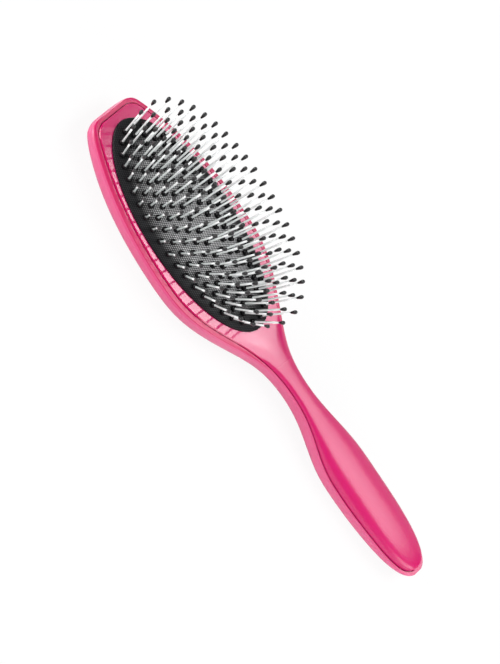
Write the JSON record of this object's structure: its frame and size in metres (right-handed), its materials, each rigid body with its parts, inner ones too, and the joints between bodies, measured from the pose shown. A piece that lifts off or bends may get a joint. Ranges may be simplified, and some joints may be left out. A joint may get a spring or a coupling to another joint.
{
  "type": "cushion paddle brush",
  "caption": "Hair brush with an oval rubber cushion, fanned ball-tipped pins and a slim moulded handle; the pins sink into the cushion when pressed.",
  "frame": {"origin": "centre of the bounding box, at the surface the brush lies on", "axes": "+Z the way the pins point, +Y from the handle towards the end of the head, +X across the head"},
  "size_m": [0.058, 0.2327, 0.0409],
  "materials": {
    "pink_shell": "satin pink moulded plastic",
    "pink_face": "polished pink moulded plastic",
    "pad_rubber": "black rubber with a fine cross-hatched grain",
    "ring_plastic": "plain black",
    "pin_nylon": "smooth translucent white nylon",
    "tip_nylon": "smooth black ball tips"
  },
  "bodies": {
    "body_shells": {"back_shell": "pink_shell", "front_shell": "pink_face", "pad": "pad_rubber", "pad_clamp_ring": "ring_plastic"},
    "pin_ring_1": {"pins_ring_1_left": "pin_nylon", "pins_ring_1_right": "pin_nylon", "tips_ring_1_left": "tip_nylon", "tips_ring_1_right": "tip_nylon"},
    "pin_ring_2": {"pins_ring_2_left": "pin_nylon", "pins_ring_2_right": "pin_nylon", "tips_ring_2_left": "tip_nylon", "tips_ring_2_right": "tip_nylon"},
    "pin_ring_3": {"pins_ring_3_left": "pin_nylon", "pins_ring_3_right": "pin_nylon", "tips_ring_3_left": "tip_nylon", "tips_ring_3_right": "tip_nylon"},
    "pin_ring_4": {"pins_ring_4_left": "pin_nylon", "pins_ring_4_right": "pin_nylon", "tips_ring_4_left": "tip_nylon", "tips_ring_4_right": "tip_nylon"},
    "pin_ring_5": {"pins_ring_5": "pin_nylon", "tips_ring_5": "tip_nylon"}
  },
  "joints": [
    {"name": "press_ring_5", "type": "slide", "parent": "body_shells", "child": "pin_ring_5", "axis": [0, 0, -1], "range_m": [0, 0.003], "stiffness_N_per_m": 600, "deforming": ["pad"]},
    {"name": "press_ring_1", "type": "slide", "parent": "body_shells", "child": "pin_ring_1", "axis": [0, 0, -1], "range_m": [0, 0.00171], "stiffness_N_per_m": 400},
    {"name": "press_ring_2", "type": "slide", "parent": "body_shells", "child": "pin_ring_2", "axis": [0, 0, -1], "range_m": [0, 0.00216], "stiffness_N_per_m": 400},
    {"name": "press_ring_3", "type": "slide", "parent": "body_shells", "child": "pin_ring_3", "axis": [0, 0, -1], "range_m": [0, 0.00255], "stiffness_N_per_m": 400},
    {"name": "press_ring_4", "type": "slide", "parent": "body_shells", "child": "pin_ring_4", "axis": [0, 0, -1], "range_m": [0, 0.00282], "stiffness_N_per_m": 400}
  ],
  "couplings": [
    {"joint": "press_ring_1", "follows": "press_ring_5", "ratio": 0.57},
    {"joint": "press_ring_2", "follows": "press_ring_5", "ratio": 0.72},
    {"joint": "press_ring_3", "follows": "press_ring_5", "ratio": 0.85},
    {"joint": "press_ring_4", "follows": "press_ring_5", "ratio": 0.94}
  ]
}
